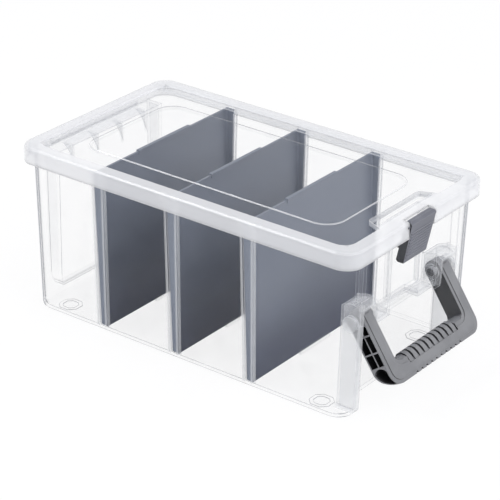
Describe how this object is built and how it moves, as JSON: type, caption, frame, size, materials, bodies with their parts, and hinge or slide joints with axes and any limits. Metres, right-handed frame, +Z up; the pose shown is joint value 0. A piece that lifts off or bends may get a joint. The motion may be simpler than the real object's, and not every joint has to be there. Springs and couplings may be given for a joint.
{
  "type": "compartment storage box",
  "caption": "Clear lidded storage box with lift-out dividers, an end latch and a fold-out carry handle.",
  "frame": {"origin": "middle of the footprint on the table, under the tub's floor", "axes": "+X along the box towards the latch and handle end, +Y across the box, +Z up"},
  "size_m": [0.3927, 0.21, 0.1636],
  "materials": {
    "tub": "clear, slightly milky moulded plastic",
    "lid": "clear moulded plastic with a milky rim",
    "latch": "opaque blue-grey moulded plastic",
    "handle": "opaque mid-grey moulded plastic",
    "divider": "opaque slate-grey moulded plastic"
  },
  "bodies": {
    "tub": {"tub": "tub"},
    "lid": {"lid": "lid"},
    "latch": {"latch": "latch"},
    "handle": {"handle": "handle"},
    "divider_1": {"divider_1": "divider"},
    "divider_2": {"divider_2": "divider"},
    "divider_3": {"divider_3": "divider"}
  },
  "joints": [
    {"name": "lid_open", "type": "hinge", "parent": "tub", "child": "lid", "pos_m": [-0.1806, 0, 0.1495], "axis": [0, -1, 0], "range_deg": [0, 110]},
    {"name": "latch_release", "type": "hinge", "parent": "lid", "child": "latch", "pos_m": [0.1825, 0, 0.1585], "axis": [0, -1, 0], "range_deg": [0, 95]},
    {"name": "handle_swing", "type": "hinge", "parent": "tub", "child": "handle", "pos_m": [0.1654, 0, 0.0842], "axis": [0, -1, 0], "range_deg": [-34.5, 68]},
    {"name": "divider_1_lift", "type": "slide", "parent": "tub", "child": "divider_1", "axis": [0, 0, 1], "range_m": [0, 0.15]},
    {"name": "divider_2_lift", "type": "slide", "parent": "tub", "child": "divider_2", "axis": [0, 0, 1], "range_m": [0, 0.15]},
    {"name": "divider_3_lift", "type": "slide", "parent": "tub", "child": "divider_3", "axis": [0, 0, 1], "range_m": [0, 0.15]}
  ],
  "couplings": [
    {"joint": "divider_1_lift", "follows": "lid_open", "m_per_rad": 0.078},
    {"joint": "divider_2_lift", "follows": "lid_open", "m_per_rad": 0.078},
    {"joint": "divider_3_lift", "follows": "lid_open", "m_per_rad": 0.078}
  ]
}
